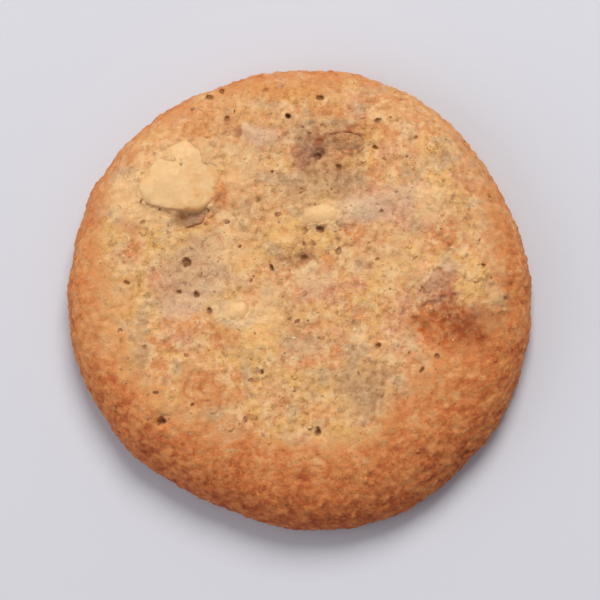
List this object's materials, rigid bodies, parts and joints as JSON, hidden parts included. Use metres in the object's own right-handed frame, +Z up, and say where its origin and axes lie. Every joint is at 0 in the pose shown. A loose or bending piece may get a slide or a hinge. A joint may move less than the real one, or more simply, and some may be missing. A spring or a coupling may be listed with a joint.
{
  "type": "almond biscuit",
  "caption": "Round, flat almond biscuit with a browned, rounded edge and chopped almond pieces baked into its crust; it lies on its flat underside.",
  "frame": {"origin": "middle of the footprint's bounding box, on the flat underside", "axes": "+Z up through the thickness; +X to the right and +Y towards the top of the picture, as the biscuit lies in it"},
  "size_m": [0.0502, 0.05, 0.0093],
  "materials": {
    "baked_crust": "matte baked dough, sandy and golden on top, browner round the rim and underneath",
    "almond_flesh": "cream chopped almond, lightly toasted, satin",
    "almond_skin": "thin brown almond skin, dull"
  },
  "bodies": {
    "root": {"biscuit": "baked_crust"}
  },
  "joints": []
}
